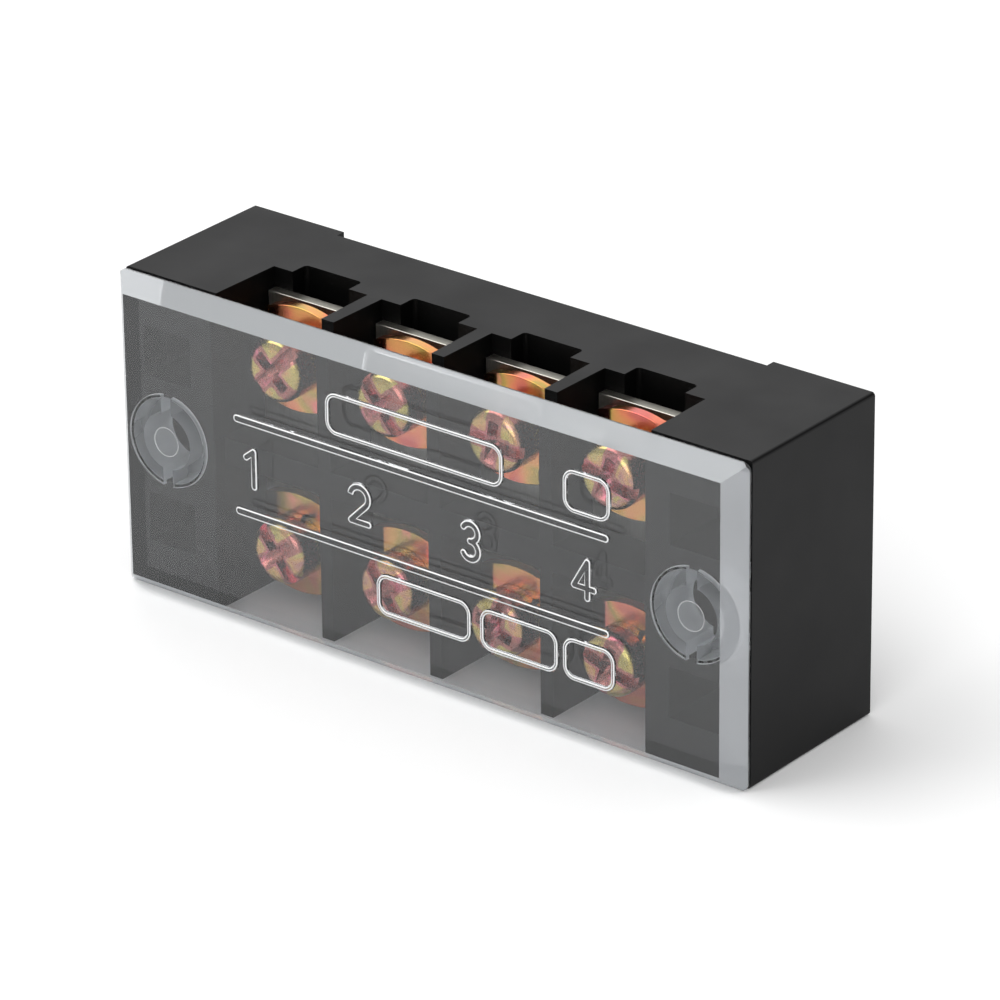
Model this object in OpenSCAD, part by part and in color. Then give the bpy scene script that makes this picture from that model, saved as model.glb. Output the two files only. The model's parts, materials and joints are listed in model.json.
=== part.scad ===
// Barrier terminal strip: four poles, two rows of clamp screws, clear push-on cover.
// Origin: middle of the mounting plane, halfway between the two mounting holes.
// +X runs along the strip, +Y points into the panel, +Z is up across the two rows.

/* [Housing] */
// Length of each end block, along the strip
end_l = 12.36; // [11.5:0.02:16]
// Clear width of one terminal bay at its ledge
bay_w = 12.44; // [12:0.02:16]
// Thickness of the barrier between two bays at their ledges
barrier_t = 1.84; // [1.2:0.02:3]
// Height of the strip across both rows
strip_w = 35.5; // [34.6:0.1:42]
// Depth of the end blocks, from the mounting plane to their front
body_d = 20.3; // [19.5:0.1:26]
// How far the barriers and the bridge stand back from the end blocks' front
barrier_setback = 1.5; // [0.6:0.1:2]
// Height of the moulded bridge between the two rows
bridge_w = 3; // [2:0.1:4]
// Depth of a bay's ledge below the end blocks' front
bay_d = 9; // [8.6:0.1:9.8]
// Mould draft: how much wider a bay is at its front, on each side
bay_draft = 0.15; // [0:0.01:0.25]
// Height of the feet that carry the strip on its panel
foot_h = 1.1; // [0.5:0.1:1.6]
// Rounding of the four long corners of the housing
corner_r = 0.4; // [0.2:0.1:1]

/* [Clearance channel behind each conductor] */
// Width of the channel
channel_w = 7.5; // [6.4:0.1:9]
// Depth of the channel below the ledge
channel_d = 2.2; // [1.9:0.1:2.6]
// Rounding of the channel's back corners
channel_r = 0.5; // [0.2:0.1:0.9]
// Diameter of the blind hole for a screw's tip
tip_hole_d = 5; // [4.8:0.1:6]
// Depth of the blind hole below the channel
tip_hole_depth = 5.4; // [4.6:0.1:6]

/* [End blocks] */
// Diameter of the mounting hole
mount_hole_d = 4.4; // [3.2:0.1:5.2]
// Diameter of the counterbore that takes the fixing screw's head and the cover's post
socket_d = 9.6; // [9:0.1:9.9]
// Depth of the counterbore
socket_depth = 12; // [8:0.5:14]
// Width of the moulded core pockets, along the strip
pocket_w = 6.2; // [4:0.1:8]
// Height of the core pockets
pocket_h = 5.6; // [4:0.1:6]
// Depth of the core pockets
pocket_depth = 8; // [2:0.5:14]
// Distance of a pocket's centre from the middle line
pocket_offset = 9.45; // [8:0.05:10.5]

/* [Conductor] */
// Thickness of the plate
plate_t = 1.2; // [1:0.1:1.6]
// How far the plate's ends stand back from the housing's long sides
plate_inset = 2.2; // [1.8:0.1:3]
// Gap between the plate and a bay's wall
plate_gap = 0.15; // [0.05:0.05:0.4]
// Outer diameter of the drawn collar that carries the thread
collar_d = 5.8; // [5.4:0.1:6.2]
// Height of the collar below the plate
collar_h = 1.5; // [0.8:0.1:1.7]

/* [Clamp plate] */
// Thickness of the clamp plate
clamp_t = 1.2; // [0.9:0.1:1.4]
// Width over the two bent wings, along the strip
clamp_w = 10.2; // [9:0.1:11.2]
// Width of the flat land under the screw
clamp_flat_w = 5.4; // [4.8:0.1:6.4]
// Length of the clamp plate, across the row
clamp_l = 11.2; // [9:0.1:12]
// Radius of the clamp plate's two curved ends
clamp_end_r = 10; // [8:0.5:30]
// Angle of the wings, bent down towards the conductor
wing_angle = 22; // [15:1:36]
// Bend radius of a wing, at the middle of the sheet
bend_r = 1.6; // [1:0.1:2.4]
// Gap between the wings and the conductor as the strip is delivered
clamp_gap = 0.4; // [0.4:0.05:0.8]
// Rounding of the clamp plate's corners
clamp_corner_r = 0.6; // [0.2:0.1:1.2]
// Diameter of the hole for the screw
clamp_hole_d = 4.5; // [4.3:0.1:5]

/* [Spring washer] */
// Outer diameter of the split spring washer under the screw head
washer_d = 7; // [6:0.1:7.6]
// Thickness of the washer
washer_t = 1; // [0.8:0.1:1.2]
// Diameter of the washer's hole
washer_hole_d = 4.4; // [4.3:0.1:4.8]
// Width of its split
split_w = 0.5; // [0.3:0.1:0.8]
// Slant of the split
split_angle = 25; // [0:5:35]

/* [Terminal screw] */
// Distance of the screws from the housing's long sides
screw_edge = 7.45; // [6.95:0.05:7.95]
// Shank diameter
shank_d = 4; // [3:0.1:4.1]
// Length under the head
screw_l = 10; // [8:0.5:10]
// Head diameter
head_d = 7; // [6:0.1:8]
// Head height
head_h = 2.6; // [2.3:0.1:2.8]
// Rounding of the head's shoulder
head_round_r = 1.1; // [0.4:0.1:1.6]
// Width of the slot and of the cross arms
slot_w = 1.25; // [0.8:0.05:1.6]
// Depth of the slot
slot_depth = 1; // [0.6:0.1:1.3]
// Span of the cross recess at the top of the head
cross_d = 4.8; // [3.6:0.1:5.4]
// Depth of the cross recess
cross_depth = 1.8; // [1.4:0.1:2]
// Thread and bearing clearance around the shank, on the radius
screw_fit = 0.08; // [0.03:0.01:0.1]

/* [Cover] */
// Thickness of the cover plate
cover_t = 2.2; // [1.6:0.1:3]
// Height of the upright edge behind the bevel
rim_h = 0.2; // [0.1:0.1:0.8]
// Width of the bevel at the two ends
end_bevel = 2.05; // [1:0.05:3]
// Width of the bevel along the two long sides
side_bevel = 1.8; // [1:0.05:3]
// How far the cover reaches past the housing's two ends
overhang = 0.2; // [0:0.05:0.6]
// Rounding of the cover's corners
cover_corner_r = 0.9; // [0.4:0.1:2]
// Height of the shoulder that holds the cover off the end blocks
shoulder_h = 0.5; // [0.3:0.1:1]
// Diameter of that shoulder
shoulder_d = 10.2; // [10:0.1:11.4]
// How deep a post reaches into its counterbore
post_l = 4; // [2:0.1:6]
// Gap between a post and its counterbore, on the radius
post_fit = 0.08; // [0.03:0.01:0.1]
// Bore of the hollow post
post_bore_d = 6.3; // [4:0.1:7]
// Width of the slot that splits a post in two halves
post_slot_w = 1.3; // [0.6:0.1:1.6]
// Diameter of the pin mark at the end of the bore
pin_mark_d = 3.2; // [2.4:0.1:3.8]
// Depth of the pin mark
pin_mark_h = 0.12; // [0.05:0.01:0.3]

/* [Raised marks] */
// How far the marks stand up from the cover
mark_h = 0.25; // [0.1:0.05:0.5]
// Slope of a mark's sides, measured across
mark_draft = 0.16; // [0.05:0.01:0.25]
// Stroke width of the two long ribs
rib_stroke = 1; // [0.6:0.1:1.4]
// Length of the ribs between their end arcs
rib_l = 48.2; // [30:0.1:60]
// Distance of the ribs from the middle line
rib_offset = 5.2; // [4:0.1:6]
// Stroke width of the pole numbers
digit_stroke = 0.9; // [0.6:0.05:1.1]
// Stroke width of the blank label frames
frame_stroke = 0.55; // [0.4:0.05:0.8]
// Height of a label frame
frame_h = 4.2; // [2:0.1:5]
// Distance of the label frames from the middle line
frame_offset = 9.2; // [8.5:0.1:11]
// Corner radius of a label frame
frame_r = 1.2; // [0.6:0.1:1.6]

/* [Hidden] */
$fn = 64;

// One set of nodes exists for each of these poles
poles = 4;
pitch = bay_w + barrier_t;
row_l = poles * bay_w + (poles - 1) * barrier_t;
strip_l = row_l + 2 * end_l;
mount_x = (strip_l - end_l) / 2;

// Distance of the screws from the middle line
screw_offset = strip_w / 2 - screw_edge;

// Depths, all measured from the mounting plane towards the front (-Y)
front_y = -body_d;
ledge_y = front_y + bay_d;
channel_y = ledge_y + channel_d;
plate_y = ledge_y - plate_t;

// The bent sheet: place of a wing's edge, its drop and the whole reach from front to edge
wing_x = clamp_w / 2 - clamp_t / 2 * sin(wing_angle);
wing_drop = bend_r * (1 - cos(wing_angle))
    + (wing_x - clamp_flat_w / 2 - bend_r * sin(wing_angle)) * tan(wing_angle);
clamp_reach = clamp_t / 2 * (1 + cos(wing_angle)) + wing_drop;
clamp_y = plate_y - clamp_gap - clamp_reach;

// Flat strips that make up one bend of the sheet
bend_steps = 6;

// Place of the screw head's underside, on the washer
head_y = clamp_y - washer_t;

// Bevels at the tips of the screws and of the cover's posts
tip_bevel = 0.5;
post_bevel = 0.4;

cover_y = front_y - shoulder_h;

plate_w = bay_w - 2 * plate_gap;
plate_l = strip_w - 2 * plate_inset;
post_d = socket_d - 2 * post_fit;
cover_l = strip_l + 2 * overhang;

// Angle of each screw's slot, row by row, as the strip is delivered
upper_turns = [47, -51, -9, -17];
lower_turns = [-52, -55, 70, -18];

// Angle of each washer's split
upper_splits = [60, 75, 20, 100];
lower_splits = [70, 110, 40, 55];

// Blank label frames on the cover: centre along the strip and length
upper_frames = [[0, 22.3], [21.8, 5.4]];
lower_frames = [[1, 11.7], [13.2, 9.4], [22, 6]];

// Excess that lets one cut pass cleanly through a face
cut = 1;

function pole_x(i) = (i - (poles + 1) / 2) * pitch;

// Turns a flat drawing (right, up) so that its height points to the front
module facing_front(y) {
    translate([0, y, 0]) rotate([90, 0, 0]) children();
}

// Rectangle with four round corners, centred
module round_rect(w, h, r) {
    square([w - 2 * r, h], center = true);
    square([w, h - 2 * r], center = true);
    for (x = [-1, 1], y = [-1, 1])
        translate([x * (w / 2 - r), y * (h / 2 - r)]) circle(r);
}

// ---------- Housing ----------

// Both halves of one bay, with the bridge left standing between them
module bay_cut() {
    half = (strip_w - bridge_w) / 2 + cut;
    back = bay_w / 2;
    front = back + bay_draft * (bay_d + cut) / bay_d;
    for (side = [-1, 1])
        translate([0, 0, side > 0 ? bridge_w / 2 : -bridge_w / 2 - half]) linear_extrude(half)
            polygon([[-back, ledge_y], [-front, front_y - cut], [front, front_y - cut],
                     [back, ledge_y]]);
}

// Tunnel for the plate, the channel for its collars and the holes for the screw tips
module conductor_cut() {
    through = strip_w + 2 * cut;
    translate([-bay_w / 2, plate_y, -through / 2]) cube([bay_w, plate_t, through]);
    translate([0, 0, -through / 2]) linear_extrude(through) {
        translate([-channel_w / 2, ledge_y - plate_t / 2])
            square([channel_w, (plate_t + channel_d) / 2]);
        translate([0, channel_y - channel_d / 2])
            round_rect(channel_w, channel_d, channel_r);
    }
    for (z = [-screw_offset, screw_offset])
        translate([0, channel_y + tip_hole_depth, z]) rotate([90, 0, 0])
            cylinder(d = tip_hole_d, h = tip_hole_depth + channel_d);
}

// Mounting hole, counterbore and the two core pockets of one end block
module end_block_cut() {
    rotate([90, 0, 0]) translate([0, 0, -cut]) cylinder(d = mount_hole_d, h = body_d + 2 * cut);
    facing_front(front_y + socket_depth) cylinder(d = socket_d, h = socket_depth + cut);
    for (z = [-pocket_offset, pocket_offset])
        facing_front(front_y + pocket_depth)
            translate([-pocket_w / 2, z - pocket_h / 2, 0])
                cube([pocket_w, pocket_h, pocket_depth + cut]);
}

module body() {
    color("#1d1e20") difference() {
        facing_front(0) linear_extrude(body_d) round_rect(strip_l, strip_w, corner_r);
        translate([-row_l / 2, -foot_h, -strip_w])
            cube([row_l, foot_h + cut, 2 * strip_w]);
        translate([-row_l / 2, front_y - cut, -strip_w])
            cube([row_l, barrier_setback + cut, 2 * strip_w]);
        for (i = [1:poles]) translate([pole_x(i), 0, 0]) {
            bay_cut();
            conductor_cut();
        }
        for (x = [-mount_x, mount_x]) translate([x, 0, 0]) end_block_cut();
    }
}

// ---------- Conductor ----------

module conductor(i) {
    color("#c9c6bb") translate([pole_x(i), 0, 0]) difference() {
        union() {
            translate([-plate_w / 2, plate_y, -plate_l / 2]) cube([plate_w, plate_t, plate_l]);
            for (z = [-screw_offset, screw_offset])
                translate([0, ledge_y + collar_h, z]) rotate([90, 0, 0])
                    cylinder(d = collar_d, h = collar_h + plate_t / 2);
        }
        for (z = [-screw_offset, screw_offset])
            translate([0, ledge_y + collar_h + cut, z]) rotate([90, 0, 0])
                cylinder(d = shank_d + 2 * screw_fit, h = collar_h + plate_t + 2 * cut);
    }
}

// ---------- Clamp plate ----------

// One face of the bent sheet, from the flat land out to the wing's edge.
// off is the face's distance from the middle of the sheet, towards the conductor.
function sheet_face(off) = concat(
    [for (k = [0:bend_steps])
        let (a = wing_angle * k / bend_steps)
        [clamp_flat_w / 2 + (bend_r - off) * sin(a),
         clamp_t / 2 + off + (bend_r - off) * (1 - cos(a))]],
    [[wing_x - off * sin(wing_angle), clamp_t / 2 + wing_drop + off * cos(wing_angle)]]);

function flipped(pts) = [for (k = [len(pts) - 1:-1:0]) [-pts[k][0], pts[k][1]]];
function backwards(pts) = [for (k = [len(pts) - 1:-1:0]) pts[k]];

// Outline of the plate: round corners and gently curved ends
module clamp_outline() {
    rise = clamp_end_r - clamp_l / 2;
    intersection() {
        round_rect(clamp_w + clamp_t, clamp_l, clamp_corner_r);
        translate([0, rise]) circle(clamp_end_r);
        translate([0, -rise]) circle(clamp_end_r);
    }
}

module clamp(i, z) {
    front = sheet_face(-clamp_t / 2);
    back = sheet_face(clamp_t / 2);
    color("#c9a24a") translate([pole_x(i), clamp_y, z]) difference() {
        intersection() {
            translate([0, 0, -clamp_l / 2]) linear_extrude(clamp_l)
                polygon(concat(flipped(front), front, backwards(concat(flipped(back), back))));
            facing_front(clamp_reach + cut) linear_extrude(clamp_reach + 2 * cut)
                clamp_outline();
        }
        facing_front(clamp_t + cut) cylinder(d = clamp_hole_d, h = clamp_t + 2 * cut);
    }
}

// ---------- Spring washer ----------

// Ring pressed flat, with its slanting split turned to the given angle
module spring_washer(i, z, turn) {
    color("#b9a15c") translate([pole_x(i), 0, z]) facing_front(clamp_y) rotate([0, 0, turn])
        difference() {
            cylinder(d = washer_d, h = washer_t);
            translate([0, 0, -cut]) cylinder(d = washer_hole_d, h = washer_t + 2 * cut);
            translate([washer_d / 2, 0, washer_t / 2]) rotate([split_angle, 0, 0])
                cube([washer_d, split_w, 4 * washer_t], center = true);
        }
}

// ---------- Terminal screw ----------

// Slot right across the head, with a tapered cross in the middle
module screw_recess() {
    translate([-head_d, -slot_w / 2, head_h - slot_depth]) cube([2 * head_d, slot_w, slot_depth + cut]);
    intersection() {
        for (a = [0, 90]) rotate([0, 0, a])
            translate([-cross_d / 2, -slot_w / 2, head_h - cross_depth])
                cube([cross_d, slot_w, cross_depth]);
        translate([0, 0, head_h - cross_depth])
            cylinder(d1 = slot_w * sqrt(2), d2 = cross_d, h = cross_depth);
    }
}

// Half section of the flat-topped head with its round shoulder
module head_section() {
    square([head_d / 2, head_h - head_round_r]);
    square([head_d / 2 - head_round_r, head_h]);
    translate([head_d / 2 - head_round_r, head_h - head_round_r]) circle(head_round_r);
}

module screw(i, z, turn) {
    color("#c3a65c") translate([pole_x(i), 0, z]) facing_front(head_y) rotate([0, 0, turn])
        difference() {
            union() {
                rotate_extrude() head_section();
                translate([0, 0, tip_bevel - screw_l]) cylinder(d = shank_d, h = screw_l - tip_bevel);
                translate([0, 0, -screw_l])
                    cylinder(d1 = shank_d - 2 * tip_bevel, d2 = shank_d, h = tip_bevel);
            }
            screw_recess();
        }
}

// ---------- Cover ----------

// Section of the bevelled plate, width by height above its back
module plate_section(w, bevel) {
    polygon([[-w / 2, 0], [w / 2, 0], [w / 2, rim_h], [w / 2 - bevel, cover_t],
             [bevel - w / 2, cover_t], [-w / 2, rim_h]]);
}

module bevelled_plate() {
    intersection() {
        translate([-cover_l / 2, 0, 0]) rotate([90, 0, 90]) linear_extrude(cover_l)
            plate_section(strip_w, side_bevel);
        translate([0, strip_w / 2, 0]) rotate([90, 0, 0]) linear_extrude(strip_w)
            plate_section(cover_l, end_bevel);
        linear_extrude(cover_t) round_rect(cover_l, strip_w, cover_corner_r);
    }
}

// Shoulder on the end block, and the post below it
module post() {
    tip = -shoulder_h - post_l;
    translate([0, 0, -shoulder_h]) cylinder(d = shoulder_d, h = shoulder_h + rim_h);
    translate([0, 0, tip + post_bevel]) cylinder(d = post_d, h = post_l - post_bevel + rim_h);
    translate([0, 0, tip]) cylinder(d1 = post_d - 2 * post_bevel, d2 = post_d, h = post_bevel);
}

// Bore of the post up to the plate, the slot across it and the pin mark at the bore's end
module post_cut() {
    reach = shoulder_h + post_l + cut;
    translate([0, 0, -reach]) cylinder(d = post_bore_d, h = reach);
    translate([0, 0, -cut]) cylinder(d = pin_mark_d, h = cut + pin_mark_h);
    translate([-post_slot_w / 2, -shoulder_d, -reach]) cube([post_slot_w, 2 * shoulder_d, reach]);
}

// Section of a raised stroke, sunk a little into the plate
module stroke_section(w) {
    polygon([[-w / 2, -mark_h], [w / 2, -mark_h], [w / 2, 0], [w / 2 - mark_draft, mark_h],
             [mark_draft - w / 2, mark_h], [-w / 2, 0]]);
}

// Round end of a stroke, or its corner
module stroke_end(p, w) {
    translate([p[0], p[1], -mark_h]) cylinder(d = w, h = mark_h);
    translate(p) cylinder(d1 = w, d2 = w - 2 * mark_draft, h = mark_h);
}

module stroke_line(a, b, w) {
    run = b - a;
    translate(a) rotate([0, 0, atan2(run[1], run[0])]) rotate([90, 0, 90])
        linear_extrude(norm(run)) stroke_section(w);
}

// Arc of a stroke about c, from angle a0 anticlockwise to a1
module stroke_arc(c, r, a0, a1, w) {
    translate(c) rotate([0, 0, a0]) rotate_extrude(angle = a1 - a0)
        translate([r, 0]) stroke_section(w);
}

// Open line of strokes with round ends and corners
module stroke_path(pts, w) {
    for (k = [0:len(pts) - 2]) stroke_line(pts[k], pts[k + 1], w);
    for (p = pts) stroke_end(p, w);
}

function on_arc(c, r, a) = c + r * [cos(a), sin(a)];

module digit_1(w) {
    stroke_path([[-0.65, 1.15], [0.35, 1.95], [0.35, -1.95]], w);
}

module digit_2(w) {
    bowl = [0, 0.8];
    r = 1.15;
    stroke_arc(bowl, r, -45, 170, w);
    stroke_end(on_arc(bowl, r, 170), w);
    stroke_path([on_arc(bowl, r, -45), [-1.124, -1.95], [1.15, -1.95]], w);
}

module digit_3(w) {
    upper = [0, 1];
    lower = [0, -0.95];
    stroke_arc(upper, 0.95, -80, 150, w);
    stroke_arc(lower, 1, -150, 80, w);
    stroke_end(on_arc(upper, 0.95, 150), w);
    stroke_end(on_arc(lower, 1, -150), w);
    stroke_end([0, 0.05], w);
}

module digit_4(w) {
    stroke_path([[1.25, -0.9], [-1.2, -0.9], [0.45, 1.95], [0.45, -1.95]], w);
}

// Blank label frame: a raised line round an empty field
module label_frame(c, l) {
    u = l / 2 - frame_r;
    v = frame_h / 2 - frame_r;
    translate(c) for (side = [0, 180]) rotate([0, 0, side]) {
        stroke_line([-u, v + frame_r], [u, v + frame_r], frame_stroke);
        stroke_line([u + frame_r, v], [u + frame_r, -v], frame_stroke);
        stroke_arc([u, v], frame_r, 0, 90, frame_stroke);
        stroke_arc([-u, v], frame_r, 90, 180, frame_stroke);
    }
}

module marks() {
    for (y = [-rib_offset, rib_offset])
        stroke_path([[-rib_l / 2, y], [rib_l / 2, y]], rib_stroke);
    translate([pole_x(1), 0, 0]) digit_1(digit_stroke);
    translate([pole_x(2), 0, 0]) digit_2(digit_stroke);
    translate([pole_x(3), 0, 0]) digit_3(digit_stroke);
    translate([pole_x(4), 0, 0]) digit_4(digit_stroke);
    for (f = upper_frames) label_frame([f[0], frame_offset], f[1]);
    for (f = lower_frames) label_frame([f[0], -frame_offset], f[1]);
}

module cover() {
    color([0.86, 0.88, 0.9, 0.45]) facing_front(cover_y) difference() {
        union() {
            bevelled_plate();
            translate([0, 0, cover_t]) marks();
            for (x = [-mount_x, mount_x]) translate([x, 0, 0]) post();
        }
        for (x = [-mount_x, mount_x]) translate([x, 0, 0]) post_cut();
    }
}

// ---------- Nodes ----------

body();
cover();
conductor(1);  // conductor_1
conductor(2);  // conductor_2
conductor(3);  // conductor_3
conductor(4);  // conductor_4
clamp(1, screw_offset);  // clamp_upper_1
clamp(2, screw_offset);  // clamp_upper_2
clamp(3, screw_offset);  // clamp_upper_3
clamp(4, screw_offset);  // clamp_upper_4
clamp(1, -screw_offset);  // clamp_lower_1
clamp(2, -screw_offset);  // clamp_lower_2
clamp(3, -screw_offset);  // clamp_lower_3
clamp(4, -screw_offset);  // clamp_lower_4
spring_washer(1, screw_offset, upper_splits[0]);  // spring_washer_upper_1
spring_washer(2, screw_offset, upper_splits[1]);  // spring_washer_upper_2
spring_washer(3, screw_offset, upper_splits[2]);  // spring_washer_upper_3
spring_washer(4, screw_offset, upper_splits[3]);  // spring_washer_upper_4
spring_washer(1, -screw_offset, lower_splits[0]);  // spring_washer_lower_1
spring_washer(2, -screw_offset, lower_splits[1]);  // spring_washer_lower_2
spring_washer(3, -screw_offset, lower_splits[2]);  // spring_washer_lower_3
spring_washer(4, -screw_offset, lower_splits[3]);  // spring_washer_lower_4
screw(1, screw_offset, upper_turns[0]);  // screw_upper_1
screw(2, screw_offset, upper_turns[1]);  // screw_upper_2
screw(3, screw_offset, upper_turns[2]);  // screw_upper_3
screw(4, screw_offset, upper_turns[3]);  // screw_upper_4
screw(1, -screw_offset, lower_turns[0]);  // screw_lower_1
screw(2, -screw_offset, lower_turns[1]);  // screw_lower_2
screw(3, -screw_offset, lower_turns[2]);  // screw_lower_3
screw(4, -screw_offset, lower_turns[3]);  // screw_lower_4
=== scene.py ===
# %% [markdown]
# # A barrier terminal strip, dressed for a studio picture
#
# The strip is an electrician's part: a black moulded housing with four walled
# bays, eight clamp screws on four conductor plates, and a clear push-on cover.
# Its shape comes ready-made from the construction model. This lesson gives it
# the finishes of the real one: moulded black plastic, clear polycarbonate,
# tinned brass, and zinc with a yellow passivated skin.
#
# Everything is in metres. +X runs along the strip, the cover faces -Y and +Z
# is up, and the strip stands on its long side.

# %% Load the frame
import json
import math

import bmesh
import bpy
import numpy as np
from mathutils import Matrix, Vector


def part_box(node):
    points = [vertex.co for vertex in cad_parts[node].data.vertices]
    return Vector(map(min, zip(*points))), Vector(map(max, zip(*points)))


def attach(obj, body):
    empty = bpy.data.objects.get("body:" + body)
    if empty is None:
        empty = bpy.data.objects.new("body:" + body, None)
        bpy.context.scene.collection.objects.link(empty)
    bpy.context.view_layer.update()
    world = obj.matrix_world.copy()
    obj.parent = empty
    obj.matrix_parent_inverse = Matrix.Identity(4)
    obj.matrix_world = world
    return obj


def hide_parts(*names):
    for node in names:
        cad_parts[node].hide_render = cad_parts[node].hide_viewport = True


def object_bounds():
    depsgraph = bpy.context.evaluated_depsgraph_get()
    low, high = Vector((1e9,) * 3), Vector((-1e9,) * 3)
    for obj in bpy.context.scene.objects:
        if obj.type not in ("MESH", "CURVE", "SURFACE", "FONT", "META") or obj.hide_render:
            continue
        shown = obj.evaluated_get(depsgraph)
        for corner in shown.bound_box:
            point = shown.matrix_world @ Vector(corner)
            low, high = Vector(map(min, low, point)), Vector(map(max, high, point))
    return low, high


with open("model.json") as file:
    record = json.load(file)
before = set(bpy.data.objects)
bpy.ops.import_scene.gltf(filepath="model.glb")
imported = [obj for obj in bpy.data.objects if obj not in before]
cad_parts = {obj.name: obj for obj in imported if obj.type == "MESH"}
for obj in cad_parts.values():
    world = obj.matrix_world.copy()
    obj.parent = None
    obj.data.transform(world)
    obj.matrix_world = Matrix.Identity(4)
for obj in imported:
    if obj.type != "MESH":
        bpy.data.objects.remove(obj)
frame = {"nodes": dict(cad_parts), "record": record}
cad_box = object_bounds()
MM = 0.001
box_low, box_high = Vector(cad_box[0]), Vector(cad_box[1])
box_mid = (box_low + box_high) / 2
print("the strip measures", [round(s / MM, 2) for s in box_high - box_low], "mm")

# %% [markdown]
# ## Names for the real pieces
#
# The strip has four poles, and each pole has an upper and a lower terminal.
# Lists of node names, one for each kind of piece, let a loop dress them all.

# %% Lists of nodes
ROWS = ("upper", "lower")
POLES = (1, 2, 3, 4)
conductors = [f"conductor_{i}" for i in POLES]
clamps = [f"clamp_{row}_{i}" for row in ROWS for i in POLES]
washers = [f"spring_washer_{row}_{i}" for row in ROWS for i in POLES]
screws = [f"screw_{row}_{i}" for row in ROWS for i in POLES]
body_of_node = {n: b for b, ns in frame["record"]["behaviour"]["bodies"].items() for n in ns}
print(len(conductors), "conductors,", len(clamps), "clamps,", len(washers), "washers,",
      len(screws), "screws")

# %% [markdown]
# ## Two helpers for materials
#
# Colours are given as sRGB hex values, but the shader works with
# linear light, so one function turns the first into the second. A second
# function adds any node, with its settings, values and links in one call.

# %% Colour and node helpers
def linear(hex_code, alpha=1.0):
    """sRGB hex to linear RGBA: divide by 12.92 near black, else a 2.4 power curve."""
    srgb = np.array([int(hex_code[k:k + 2], 16) for k in (1, 3, 5)]) / 255
    low = srgb / 12.92
    high = ((srgb + 0.055) / 1.055) ** 2.4
    return (*np.where(srgb <= 0.04045, low, high), alpha)


def add(tree, kind, inputs=None, **settings):
    """Adds a node; an input given as a socket is linked, any other is a value."""
    made = tree.nodes.new(kind)
    for name, value in settings.items():
        setattr(made, name, value)
    for name, value in (inputs or {}).items():
        if isinstance(value, bpy.types.NodeSocket):
            tree.links.new(value, made.inputs[name])
        else:
            made.inputs[name].default_value = value
    return made


def paint_stops(ramp, stops):
    """Sets a colour ramp's stops from (place, hex colour) pairs."""
    points = ramp.color_ramp.elements
    while len(points) < len(stops):
        points.new(0.5)
    for point, (place, colour) in zip(points, stops):
        point.position = place
        point.color = linear(colour)


def new_material(name):
    """An empty material, its node tree and its output node."""
    made = bpy.data.materials.new(name)
    made.use_nodes = True
    made.node_tree.nodes.clear()
    return made, made.node_tree, add(made.node_tree, "ShaderNodeOutputMaterial")


print("mid grey #808080 is", round(linear("#808080")[0], 3), "in linear light")

# %% [markdown]
# ## Black moulded housing
#
# The housing is a black thermoplastic, moulded in a spark-eroded steel tool.
# That leaves a satin skin: very dark, with a soft sheen and a grain of about a
# tenth of a millimetre. A fine noise bumps the surface, and a broad one
# shifts the sheen a little, as uneven cooling does. The real strip is one
# plastic throughout. Here the bays and pockets have a second material, blacker
# and with less sheen: painted shade, so that they read as deep openings in this light.

# %% Housing material
GRAIN = 0.12 * MM
FLOW = 9 * MM


def black_moulded_plastic(name, stops, gloss):
    """Black plastic whose colour drifts between the stops; gloss is its specular level."""
    made, tree, out = new_material(name)
    place = add(tree, "ShaderNodeTexCoord").outputs["Object"]
    grain = add(tree, "ShaderNodeTexNoise", {"Vector": place, "Scale": 1 / GRAIN, "Detail": 3})
    flow = add(tree, "ShaderNodeTexNoise", {"Vector": place, "Scale": 1 / FLOW, "Detail": 2})
    tone = add(tree, "ShaderNodeValToRGB", {"Fac": flow.outputs["Fac"]})
    paint_stops(tone, stops)
    sheen = add(tree, "ShaderNodeMapRange",
                {"Value": flow.outputs["Fac"], "From Min": 0.3, "From Max": 0.7,
                 "To Min": 0.46, "To Max": 0.54})
    bump = add(tree, "ShaderNodeBump",
               {"Height": grain.outputs["Fac"], "Strength": 0.12, "Distance": 0.02 * MM})
    skin = add(tree, "ShaderNodeBsdfPrincipled",
               {"Base Color": tone.outputs["Color"], "Roughness": sheen.outputs["Result"],
                "Normal": bump.outputs["Normal"], "IOR": 1.5, "Specular IOR Level": gloss})
    tree.links.new(skin.outputs["BSDF"], out.inputs["Surface"])
    return made


housing_skin = black_moulded_plastic("black_moulded_outside", [(0.3, "#0a0a0b"), (0.7, "#0f0f10")], 0.17)
# Painted shade: the bays and pockets get a blacker plastic with less sheen than the outside.
bay_painted_shade = black_moulded_plastic("black_moulded_bays_painted_shade", [(0.3, "#030303"), (0.7, "#060606")], 0.08)
print("made", housing_skin.name, "and", bay_painted_shade.name)

# %% [markdown]
# ## Clear polycarbonate
#
# The cover is clear polycarbonate, with a polished front and back. The real
# plastic's index is 1.58. It is lowered to 1.47 as a choice of look, so that
# the front mirrors less of the bright floor and the bays show through. A thin
# share of scattered light, mixed over the glass, is its haze. The bevels have a
# satin skin with a grey milky share that is painted light: it stands in for the
# light the plate carries to its edges, and is darker on the ends than on the
# sides. The posts have a duller skin, and the rims of the raised marks get a
# white frosted skin as a painted glint, so the marks read as white outlines.

# %% Cover materials
POLYCARBONATE_IOR = 1.47


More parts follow.
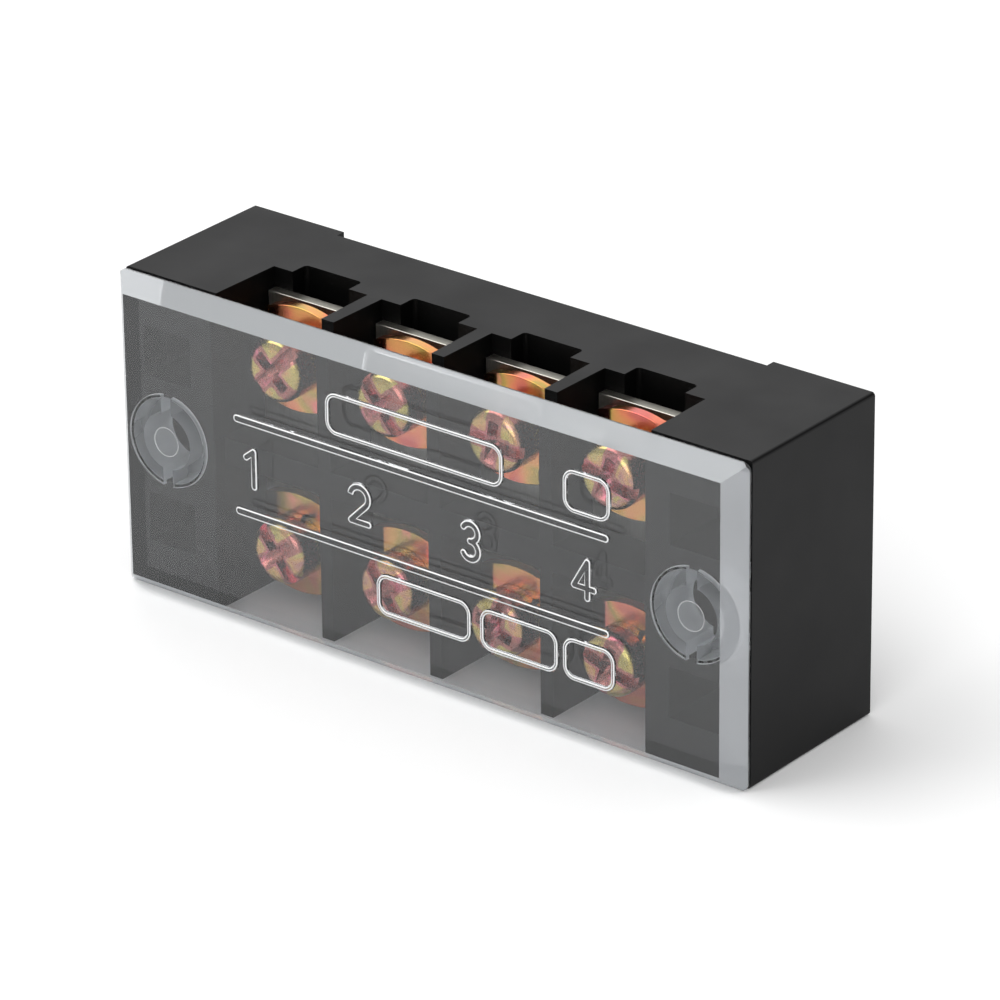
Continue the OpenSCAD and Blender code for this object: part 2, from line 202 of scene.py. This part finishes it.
def polycarbonate(name, haze, rough, milk_tone="#e9ecef"):
    """Clear plastic with a share of scattered light, from 0, clear, to 1, frosted."""
    made, tree, out = new_material(name)
    glass = add(tree, "ShaderNodeBsdfPrincipled",
                {"Base Color": linear("#f4f6f8"), "Roughness": rough, "IOR": POLYCARBONATE_IOR,
                 "Transmission Weight": 1.0})
    milk = add(tree, "ShaderNodeBsdfPrincipled",
               {"Base Color": linear(milk_tone), "Roughness": 0.5, "IOR": POLYCARBONATE_IOR})
    blend = add(tree, "ShaderNodeMixShader",
                {0: haze, 1: glass.outputs["BSDF"], 2: milk.outputs["BSDF"]})
    tree.links.new(blend.outputs["Shader"], out.inputs["Surface"])
    return made


cover_clear = polycarbonate("polished_polycarbonate", 0.01, 0.02)
# Painted light: the bevels' grey milky share stands in for light carried through the plate, set darker
# on the ends than on the sides.
cover_end_bevel_painted_light = polycarbonate("satin_polycarbonate_ends_painted_light", 0.55, 0.12, "#a6a9ad")
cover_side_bevel_painted_light = polycarbonate("satin_polycarbonate_sides_painted_light", 0.5, 0.12, "#b0b4b7")
cover_posts = polycarbonate("moulded_polycarbonate_posts", 0.4, 0.3)
cover_floors = polycarbonate("matt_polycarbonate_bores", 0.12, 0.2)
# Painted glint: a white, nearly frosted skin for the rim beads and the pin marks.
cover_marks_painted_glint = polycarbonate("frosted_polycarbonate_painted_glint", 0.85, 0.3, "#ffffff")
print("made", cover_clear.name, "and its satin and frosted skins")

# %% [markdown]
# ## Yellow passivated zinc
#
# Clamps and screws are steel, plated with zinc and dipped in a yellow chromate
# bath. The bath leaves a film a few hundred nanometres thick, whose colour
# runs from straw through orange and pink to olive as it thickens. So a slow
# noise plays the film's thickness, and a colour ramp turns thickness to hue.
# On a screw's head a second, darker mauve ramp colours the recess, a broad
# cross round it and the head's sides: partly the film's hue, partly painted shade.

# %% Passivated zinc materials
HEAD_MAP = "head_map"
ARM_HALF = 0.98


def shaded_cross(tree, film, thin):
    """The thin film's colour, but a darker mauve in a broad cross and down the sides: painted shade.

    The cross is where the smaller of the two distances from the screw's axis,
    along and across its slot, is under half an arm's width in millimetres.
    """
    across = add(tree, "ShaderNodeSeparateXYZ",
                 {0: add(tree, "ShaderNodeUVMap", uv_map=HEAD_MAP).outputs["UV"]})
    sizes = [add(tree, "ShaderNodeMath", {0: across.outputs[k]}, operation="ABSOLUTE").outputs[0]
             for k in "XY"]
    arm = add(tree, "ShaderNodeMath", {0: sizes[0], 1: sizes[1]}, operation="SMOOTH_MIN")
    arm.inputs[2].default_value = 0.5
    uneven = add(tree, "ShaderNodeMapRange",
                 {"Value": film.outputs["Fac"], "From Min": 0.3, "From Max": 0.7,
                  "To Min": -0.25, "To Max": 0.25})
    edge = add(tree, "ShaderNodeMath", {0: arm.outputs[0], 1: uneven.outputs["Result"]})
    lobe = add(tree, "ShaderNodeMapRange",
               {"Value": edge.outputs[0], "From Min": ARM_HALF - 0.06, "From Max": ARM_HALF + 0.06})
    facing = add(tree, "ShaderNodeSeparateXYZ",
                 {0: add(tree, "ShaderNodeTexCoord").outputs["Normal"]})
    front = add(tree, "ShaderNodeMapRange",
                {"Value": facing.outputs["Y"], "From Min": -0.45, "From Max": -0.3,
                 "To Min": 1, "To Max": 0})
    share = add(tree, "ShaderNodeMath",
                {0: lobe.outputs["Result"], 1: front.outputs["Result"]}, operation="MULTIPLY")
    # Painted shade: the darker mauve ramp for the cross and the head's sides.
    shade_tone = add(tree, "ShaderNodeValToRGB", {"Fac": film.outputs["Fac"]})
    paint_stops(shade_tone, RECESS_SHADE_STOPS)
    both = add(tree, "ShaderNodeMix", data_type="RGBA")
    for socket, source in ((0, share.outputs[0]), (6, shade_tone.outputs["Color"]), (7, thin)):
        tree.links.new(source, both.inputs[socket])
    return both.outputs[2]


def passivated_zinc(name, patch, stops, rough, cross=False):
    """Metal whose colour follows a film thickness, in patches of the given size."""
    made, tree, out = new_material(name)
    place = add(tree, "ShaderNodeTexCoord").outputs["Object"]
    film = add(tree, "ShaderNodeTexNoise",
               {"Vector": place, "Scale": 1 / patch, "Detail": 2.5, "Roughness": 0.5,
                "Distortion": 0.6})
    hue = add(tree, "ShaderNodeValToRGB", {"Fac": film.outputs["Fac"]})
    paint_stops(hue, stops)
    # With cross set, a broad cross and the head's sides get the darker mauve ramp: painted shade.
    colour = shaded_cross(tree, film, hue.outputs["Color"]) if cross else hue.outputs["Color"]
    pits = add(tree, "ShaderNodeTexNoise", {"Vector": place, "Scale": 1 / (0.15 * MM), "Detail": 3})
    dull = add(tree, "ShaderNodeMapRange",
               {"Value": pits.outputs["Fac"], "From Min": 0.3, "From Max": 0.7,
                "To Min": rough * 0.8, "To Max": rough * 1.25})
    bump = add(tree, "ShaderNodeBump",
               {"Height": pits.outputs["Fac"], "Strength": 0.15, "Distance": 0.02 * MM})
    skin = add(tree, "ShaderNodeBsdfPrincipled",
               {"Base Color": colour, "Metallic": 1.0,
                "Roughness": dull.outputs["Result"], "Normal": bump.outputs["Normal"]})
    tree.links.new(skin.outputs["BSDF"], out.inputs["Surface"])
    return made


CLAMP_STOPS = [(0.30, "#c86a62"), (0.42, "#dc8060"), (0.54, "#cf9a5c"),
               (0.62, "#b09a52"), (0.70, "#d67c74")]
HEAD_STOPS = [(0.30, "#a89c5c"), (0.46, "#b9a766"), (0.56, "#c79a6c"),
              (0.66, "#b98580"), (0.76, "#c2ad66")]
# The recess ramp: the film's mauve hue, darkened as painted shade.
RECESS_SHADE_STOPS = [(0.34, "#93605a"), (0.48, "#a86c63"), (0.58, "#b0686a"),
                (0.68, "#d67c8c"), (0.80, "#97655f")]
clamp_zinc = passivated_zinc("yellow_passivated_clamp", 5 * MM, CLAMP_STOPS, 0.22)
washer_zinc = passivated_zinc("yellow_passivated_washer", 2.4 * MM, HEAD_STOPS, 0.24)
head_zinc = passivated_zinc("yellow_passivated_head", 2.4 * MM, HEAD_STOPS, 0.24, cross=True)
recess_zinc_painted_shade = passivated_zinc("mauve_passivated_recess_painted_shade", 2 * MM, RECESS_SHADE_STOPS, 0.26)
print("made", clamp_zinc.name + ",", head_zinc.name, "and", recess_zinc_painted_shade.name)

# %% [markdown]
# ## Tinned brass
#
# The conductors are stamped from brass strip and tinned so that they solder
# and don't tarnish. Tin is a pale warm grey, and rolling leaves fine lines
# along each plate, from its upper terminal to its lower one.

# %% Conductor material
def tinned_brass():
    """Pale metal with a noise stretched along Z, as rolled lines."""
    made, tree, out = new_material("tinned_brass")
    place = add(tree, "ShaderNodeTexCoord").outputs["Object"]
    drawn = add(tree, "ShaderNodeMapping", {"Vector": place, "Scale": (1, 1, 0.06)})
    lines = add(tree, "ShaderNodeTexNoise",
                {"Vector": drawn.outputs["Vector"], "Scale": 1 / (0.12 * MM), "Detail": 2})
    tone = add(tree, "ShaderNodeValToRGB", {"Fac": lines.outputs["Fac"]})
    paint_stops(tone, [(0.3, "#cfccc2"), (0.7, "#dcd9cf")])
    bump = add(tree, "ShaderNodeBump",
               {"Height": lines.outputs["Fac"], "Strength": 0.04, "Distance": 0.01 * MM})
    skin = add(tree, "ShaderNodeBsdfPrincipled",
               {"Base Color": tone.outputs["Color"], "Metallic": 1.0, "Roughness": 0.3,
                "Normal": bump.outputs["Normal"]})
    tree.links.new(skin.outputs["BSDF"], out.inputs["Surface"])
    return made


tin = tinned_brass()
print("made", tin.name)

# %% [markdown]
# ## Softening the edges
#
# A moulded or stamped edge is never razor sharp: it has a radius of a tenth of
# a millimetre or so, and that small round is what catches the light. The
# construction mesh is loose triangles with sharp edges, so each piece is
# copied, its triangles welded and flat ones merged, and a bevel modifier
# rounds what is left. The clamps get the largest round, and the cover, whose
# bevels are already in its shape, gets none. The copy stands in for the plain
# piece.

# %% Softened copies
WELD = 0.0005 * MM
FLAT = math.radians(1)
SHARP = math.radians(25)
HOUSING_ROUND, CONDUCTOR_ROUND, CLAMP_ROUND = 0.1 * MM, 0.06 * MM, 0.4 * MM
WASHER_ROUND, SCREW_ROUND = 0.08 * MM, 0.05 * MM


def welded_copy(node, name):
    """A copy of a node's mesh with its triangles welded and flat regions merged."""
    mesh = frame["nodes"][node].data.copy()
    mesh.name = name
    work = bmesh.new()
    work.from_mesh(mesh)
    bmesh.ops.remove_doubles(work, verts=work.verts, dist=WELD)
    bmesh.ops.dissolve_limit(work, angle_limit=FLAT, verts=work.verts, edges=work.edges)
    work.to_mesh(mesh)
    work.free()
    piece = bpy.data.objects.new(name, mesh)
    bpy.context.scene.collection.objects.link(piece)
    return piece


def dressed(node, name, radius, material, segments=2):
    """The softened copy of a node, with its finish, riding on the node's body."""
    piece = welded_copy(node, name)
    piece.data.materials.clear()
    piece.data.materials.append(material)
    piece.data.polygons.foreach_set("use_smooth", np.ones(len(piece.data.polygons), bool))
    if radius:
        bevel = piece.modifiers.new("soft_edges", "BEVEL")
        bevel.width = radius
        bevel.segments = segments
        bevel.limit_method = "ANGLE"
        bevel.angle_limit = SHARP
        bevel.harden_normals = True
    piece.data.set_sharp_from_angle(angle=SHARP)
    weighted = piece.modifiers.new("true_flats", "WEIGHTED_NORMAL")
    weighted.keep_sharp = True
    weighted.weight = 100
    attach(piece, body_of_node[node])
    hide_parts(node)
    return piece


housing = dressed("body", "housing_moulding", HOUSING_ROUND, housing_skin)
for node in conductors:
    dressed(node, f"{node}_plate", CONDUCTOR_ROUND, tin)
for node in clamps:
    dressed(node, f"{node}_plate", CLAMP_ROUND, clamp_zinc, segments=4)
for node in washers:
    dressed(node, f"{node}_ring", WASHER_ROUND, washer_zinc)

# %% [markdown]
# ## Skins for chosen faces
#
# Some pieces have more than one finish. The housing is satin outside, and its
# bays and pockets get a blacker, matt skin as painted shade. The cover has its
# polished plate, satin bevels with a milky tone that is painted light, and
# duller posts. On a screw a darker mauve skin, partly the film's hue and partly
# painted shade, goes on the recess. The faces are chosen by where they are
# and how they lie.

# %% Choosing faces
def vectors(parts, field):
    """One vector field of a mesh's vertices or polygons, as rows of three."""
    values = np.empty(len(parts) * 3)
    parts.foreach_get(field, values)
    return values.reshape(-1, 3)


def counts(parts, field):
    """One whole-number field of a mesh's parts, as a single row."""
    values = np.empty(len(parts), np.int32)
    parts.foreach_get(field, values)
    return values


def face_table(piece):
    """Centre and outward normal of every polygon, as two arrays of rows."""
    return vectors(piece.data.polygons, "center"), vectors(piece.data.polygons, "normal")


def farthest_corner(piece, distance):
    """For every polygon, the largest distance among its corners."""
    far = distance(vectors(piece.data.vertices, "co"))[counts(piece.data.loops, "vertex_index")]
    return np.maximum.reduceat(far, counts(piece.data.polygons, "loop_start"))


def skin_faces(piece, material, chosen):
    """Gives the chosen polygons a material of their own."""
    piece.data.materials.append(material)
    index = counts(piece.data.polygons, "material_index")
    index[chosen] = len(piece.data.materials) - 1
    piece.data.polygons.foreach_set("material_index", index)


# %% The housing's bays
OUTER = 0.05 * MM
STEP_BACK = 1.3 * MM

low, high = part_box("body")
centres, normals = face_table(housing)
outside = (np.abs(centres[:, 0]) > high.x - OUTER) | (np.abs(centres[:, 2]) > high.z - OUTER)
outside |= (centres[:, 1] < low.y + OUTER) | (centres[:, 1] > high.y - STEP_BACK)
# Painted shade: every face inside the bays and pockets takes the blacker skin.
skin_faces(housing, bay_painted_shade, ~outside)
print("the bays and pockets have", int((~outside).sum()), "faces")

# %% [markdown]
# ## The cover's marks
#
# The numbers, the two long ribs and the blank label frames stand a quarter of
# a millimetre proud. Their rims get a white frosted skin as a painted glint, so
# each mark reads as a thin white outline round a clear stroke. The rims' edges are
# lifted out of the mesh as curves, and a round bead is laid along them. The
# field of marks sits a little above the middle of the plate, and the ribs
# start a little short of its left side. The round pin marks in the posts and
# the posts' shoulders get finer beads, with the same painted glint.

# %% Moving and rimming the marks
MARK_HEIGHT = 0.25 * MM
MARK_FIELD = (26 * MM, 14 * MM)
MARK_SHIFT = (0.2 * MM, 0.93 * MM)
RIB_END = -23 * MM
RIB_TRIM = 0.9 * MM
BEAD = 0.08 * MM
NEAR = 0.01 * MM


def shift_marks(piece, front):
    """Slides every point of the field before the plate by the shift, and trims the ribs."""
    places = vectors(piece.data.vertices, "co")
    marks = places[:, 1] < front + NEAR
    marks &= (np.abs(places[:, 0]) < MARK_FIELD[0]) & (np.abs(places[:, 2]) < MARK_FIELD[1])
    places[marks, 0] += MARK_SHIFT[0]
    places[marks, 2] += MARK_SHIFT[1]
    places[marks & (places[:, 0] < RIB_END), 0] += RIB_TRIM
    piece.data.vertices.foreach_set("co", places.ravel())
    return int(marks.sum())


def as_kind(piece, kind):
    """Turns a piece into a curve or back into a mesh."""
    for other in bpy.context.selected_objects:
        other.select_set(False)
    piece.select_set(True)
    bpy.context.view_layer.objects.active = piece
    bpy.ops.object.convert(target=kind)
    return bpy.context.view_layer.objects.active


def rim_beads(piece, on_rim, radius, step, name):
    """A round bead along every sharp edge whose ends are both on a rim, moved by a step."""
    work = bmesh.new()
    work.from_mesh(piece.data)
    others = [e for e in work.edges
              if not all(on_rim(v.co) for v in e.verts) or e.calc_face_angle(0) < SHARP]
    bmesh.ops.delete(work, geom=work.faces[:], context="FACES_ONLY")
    bmesh.ops.delete(work, geom=others, context="EDGES")
    bmesh.ops.translate(work, verts=work.verts, vec=(0, step, 0))
    mesh = bpy.data.meshes.new(name)
    work.to_mesh(mesh)
    work.free()
    beads = bpy.data.objects.new(name, mesh)
    bpy.context.scene.collection.objects.link(beads)
    beads = as_kind(beads, "CURVE")
    beads.data.bevel_depth = radius
    beads.data.bevel_resolution = 1
    beads.data.use_fill_caps = True
    beads = as_kind(beads, "MESH")
    # Painted glint: the beads take the white frosted skin.
    beads.data.materials.append(cover_marks_painted_glint)
    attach(beads, body_of_node["cover"])
    return len(beads.data.polygons)


# %% The cover's skins
PLATE = 2.2 * MM
FINE_BEAD = 0.05 * MM
PIN_RADIUS = 1.6 * MM
PIN_SLACK = 0.15 * MM
SHOULDER_RADIUS = 5.1 * MM
PIN_REACH = 1.8 * MM
BORE_REACH = 3.4 * MM
POST_REACH = 5.3 * MM
PLATE_BACK = 0.3 * MM
SQUARE_ON = 0.97
LEANS_FRONT = 0.3

cover = dressed("cover", "clear_cover", 0, cover_clear)
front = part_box("cover")[0].y + MARK_HEIGHT
print("moved", shift_marks(cover, front), "points of the marks")
mount_x = frame["record"]["mounts"][0]["dims"]["spacing_x_mm"] / 2 * MM
back = front + PLATE


def from_post(places):
    """Distance of each row, a point, from the axis of the nearer post."""
    return np.hypot(np.abs(places[..., 0]) - mount_x, places[..., 2])


def on_marks(place):
    """Is this point on the front face of a raised mark?"""
    return place.y < front - MARK_HEIGHT + NEAR


def on_pin(place):
    """Is this point on the round pin mark in a post's bore?"""
    return place.y < back - NEAR and abs(from_post(np.array(place)) - PIN_RADIUS) < PIN_SLACK


def on_shoulder(place):
    """Is this point on the outer rim of a post's shoulder?"""
    return (place.y > back + PLATE_BACK
            and abs(from_post(np.array(place)) - SHOULDER_RADIUS) < PIN_SLACK)


print("laid rims with", rim_beads(cover, on_marks, BEAD, BEAD, "mark_rims"),
      rim_beads(cover, on_pin, FINE_BEAD, 0, "pin_mark_rims"),
      rim_beads(cover, on_shoulder, FINE_BEAD, -FINE_BEAD, "shoulder_rims"), "faces")
centres, normals = face_table(cover)
depth = centres[:, 1] - front
aslant = np.abs(normals[:, 1]) < SQUARE_ON
bevels = aslant & (normals[:, 1] < -LEANS_FRONT) & (depth > 0) & (depth < PLATE)
endwise = np.abs(normals[:, 0]) > np.abs(normals[:, 2])
reach = farthest_corner(cover, from_post)
pin = (reach < PIN_REACH) & aslant
posts = (depth > PLATE - PLATE_BACK) & (reach < POST_REACH) & ~pin
floors = posts & ~aslant & (reach < BORE_REACH)
# Painted light: the bevels take the milky skins, darker on the ends than on the sides.
skin_faces(cover, cover_end_bevel_painted_light, bevels & endwise)
skin_faces(cover, cover_side_bevel_painted_light, bevels & ~endwise)
skin_faces(cover, cover_posts, posts)
skin_faces(cover, cover_floors, floors)
# Painted glint: the pin marks take the same white frosted skin.
skin_faces(cover, cover_marks_painted_glint, pin)
print("the cover has", int(bevels.sum()), "bevel faces,", int(posts.sum()), "faces on its posts and",
      int(pin.sum()), "round its pin marks")


# %% The screws' skins
FACE_EDGE = 0.05 * MM
RECESS_DEPTH = 2 * MM
LOOKS_OUT = 0.2
UPRIGHT = 0.3


def in_recess(centres, normals, low, high):
    """Polygons behind the head's face that don't look away from the screw's axis."""
    axis = np.array([low.x + high.x, low.z + high.z]) / 2
    spokes = centres[:, (0, 2)] - axis
    spokes /= np.linalg.norm(spokes, axis=1, keepdims=True) + 1e-12
    outward = (normals[:, (0, 2)] * spokes).sum(1)
    depth = centres[:, 1] - low.y
    return (depth > FACE_EDGE) & (depth < RECESS_DEPTH) & (outward < LOOKS_OUT)


def map_head(piece, low, high, recess):
    """UVs in millimetres from the screw's axis, along and across its slot.

    The slot's turn is a quarter of the mean angle of four times the recess
    walls' own angles, each weighed by its area.
    """
    centres, normals = face_table(piece)
    areas = np.empty(len(centres))
    piece.data.polygons.foreach_get("area", areas)
    walls = recess & (np.abs(normals[:, 1]) < UPRIGHT)
    angles = np.arctan2(normals[walls, 2], normals[walls, 0])
    turn = np.angle((areas[walls] * np.exp(4j * angles)).sum()) / 4
    places = vectors(piece.data.vertices, "co")[counts(piece.data.loops, "vertex_index")]
    flat = (places[:, 0] - (low.x + high.x) / 2) + 1j * (places[:, 2] - (low.z + high.z) / 2)
    flat = flat / MM * np.exp(-1j * turn)
    layer = piece.data.uv_layers.new(name=HEAD_MAP)
    layer.data.foreach_set("uv", np.stack([flat.real, flat.imag], 1).ravel())
    return math.degrees(turn)


turns = []
for node in screws:
    screw = dressed(node, f"{node}_head", SCREW_ROUND, head_zinc)
    recess = in_recess(*face_table(screw), *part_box(node))
    turns.append(round(map_head(screw, *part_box(node), recess), 1))
    # Painted shade: the recess faces take the darker mauve skin.
    skin_faces(screw, recess_zinc_painted_shade, recess)
print("the slots are turned by", turns, "degrees")

# %% [markdown]
# ## The camera
#
# A long lens from about two thirds of a metre, to the right of the strip and
# above it, so that the front, the right end and the top all show.

# %% Camera
AZIMUTH, ELEVATION, ROLL = (math.radians(a) for a in (38.644, 25.029, -0.663))
DISTANCE = 656.9 * MM
LENS, SENSOR = 232.5, 36.0
SHIFT = (0.0065, -0.0128)


def make_camera(target):
    """A camera looking at target: the view's right and up turned by the roll."""
    back = Vector((math.sin(AZIMUTH) * math.cos(ELEVATION),
                   -math.cos(AZIMUTH) * math.cos(ELEVATION), math.sin(ELEVATION)))
    right = Vector((math.cos(AZIMUTH), math.sin(AZIMUTH), 0))
    up = back.cross(right)
    turned_right = right * math.cos(ROLL) + up * math.sin(ROLL)
    turned_up = up * math.cos(ROLL) - right * math.sin(ROLL)
    lens = bpy.data.cameras.new("camera")
    lens.lens, lens.sensor_width = LENS, SENSOR
    lens.shift_x, lens.shift_y = SHIFT
    lens.clip_start, lens.clip_end = 0.01, 20
    made = bpy.data.objects.new("camera", lens)
    place = Matrix((turned_right, turned_up, back)).transposed().to_4x4()
    place.translation = target + back * DISTANCE
    made.matrix_world = place
    bpy.context.scene.collection.objects.link(made)
    return made


housing_low, housing_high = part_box("body")
camera = make_camera((housing_low + housing_high) / 2)
bpy.context.scene.camera = camera
print("the camera is", round(DISTANCE, 3), "m from the housing")

# %% [markdown]
# ## Floor, backdrop and light
#
# A white floor under the strip and an even white sky, with three broad soft
# boxes: the key above and to the left, a fill in front and a weak one behind.
# The floor is made bright enough to read as plain white, and it also throws
# light up into the metal of the bays.

# %% Floor
FLOOR_HALF = 3.0


def make_floor(z):
    """One square of white paper, level with the strip's underside."""
    corners = [(-FLOOR_HALF, -FLOOR_HALF, z), (FLOOR_HALF, -FLOOR_HALF, z),
               (FLOOR_HALF, FLOOR_HALF, z), (-FLOOR_HALF, FLOOR_HALF, z)]
    mesh = bpy.data.meshes.new("floor")
    mesh.from_pydata(corners, [], [(0, 1, 2, 3)])
    made = bpy.data.objects.new("floor", mesh)
    bpy.context.scene.collection.objects.link(made)
    paper, tree, out = new_material("white_paper")
    matt = add(tree, "ShaderNodeBsdfPrincipled",
               {"Base Color": linear("#f6f6f6"), "Roughness": 0.9, "Specular IOR Level": 0.1})
    tree.links.new(matt.outputs["BSDF"], out.inputs["Surface"])
    mesh.materials.append(paper)
    return made


make_floor(box_low.z)
print("the floor lies at", round(box_low.z / MM, 2), "mm")


# %% Lights
def soft_box(name, place, size, power):
    """A square area light that looks at the middle of the strip."""
    lamp = bpy.data.lights.new(name, "AREA")
    lamp.size, lamp.energy = size, power
    made = bpy.data.objects.new(name, lamp)
    made.matrix_world = Matrix.Translation(place) @ (
        Vector(place) - box_mid).to_track_quat("Z", "Y").to_matrix().to_4x4()
    bpy.context.scene.collection.objects.link(made)
    return made


soft_box("key", (-0.8, -0.6, 1.3), 1.2, 14)
soft_box("fill", (0.5, -1.4, 0.6), 1.0, 9)
soft_box("back", (-0.8, 1.1, 0.75), 1.2, 3.3)

sky = bpy.data.worlds.new("white_studio")
sky.use_nodes = True
sky.node_tree.nodes.clear()
glow = add(sky.node_tree, "ShaderNodeBackground", {"Color": linear("#ffffff"), "Strength": 0.75})
add(sky.node_tree, "ShaderNodeOutputWorld", {"Surface": glow.outputs["Background"]})
bpy.context.scene.world = sky
bpy.context.scene.view_settings.view_transform = "Standard"
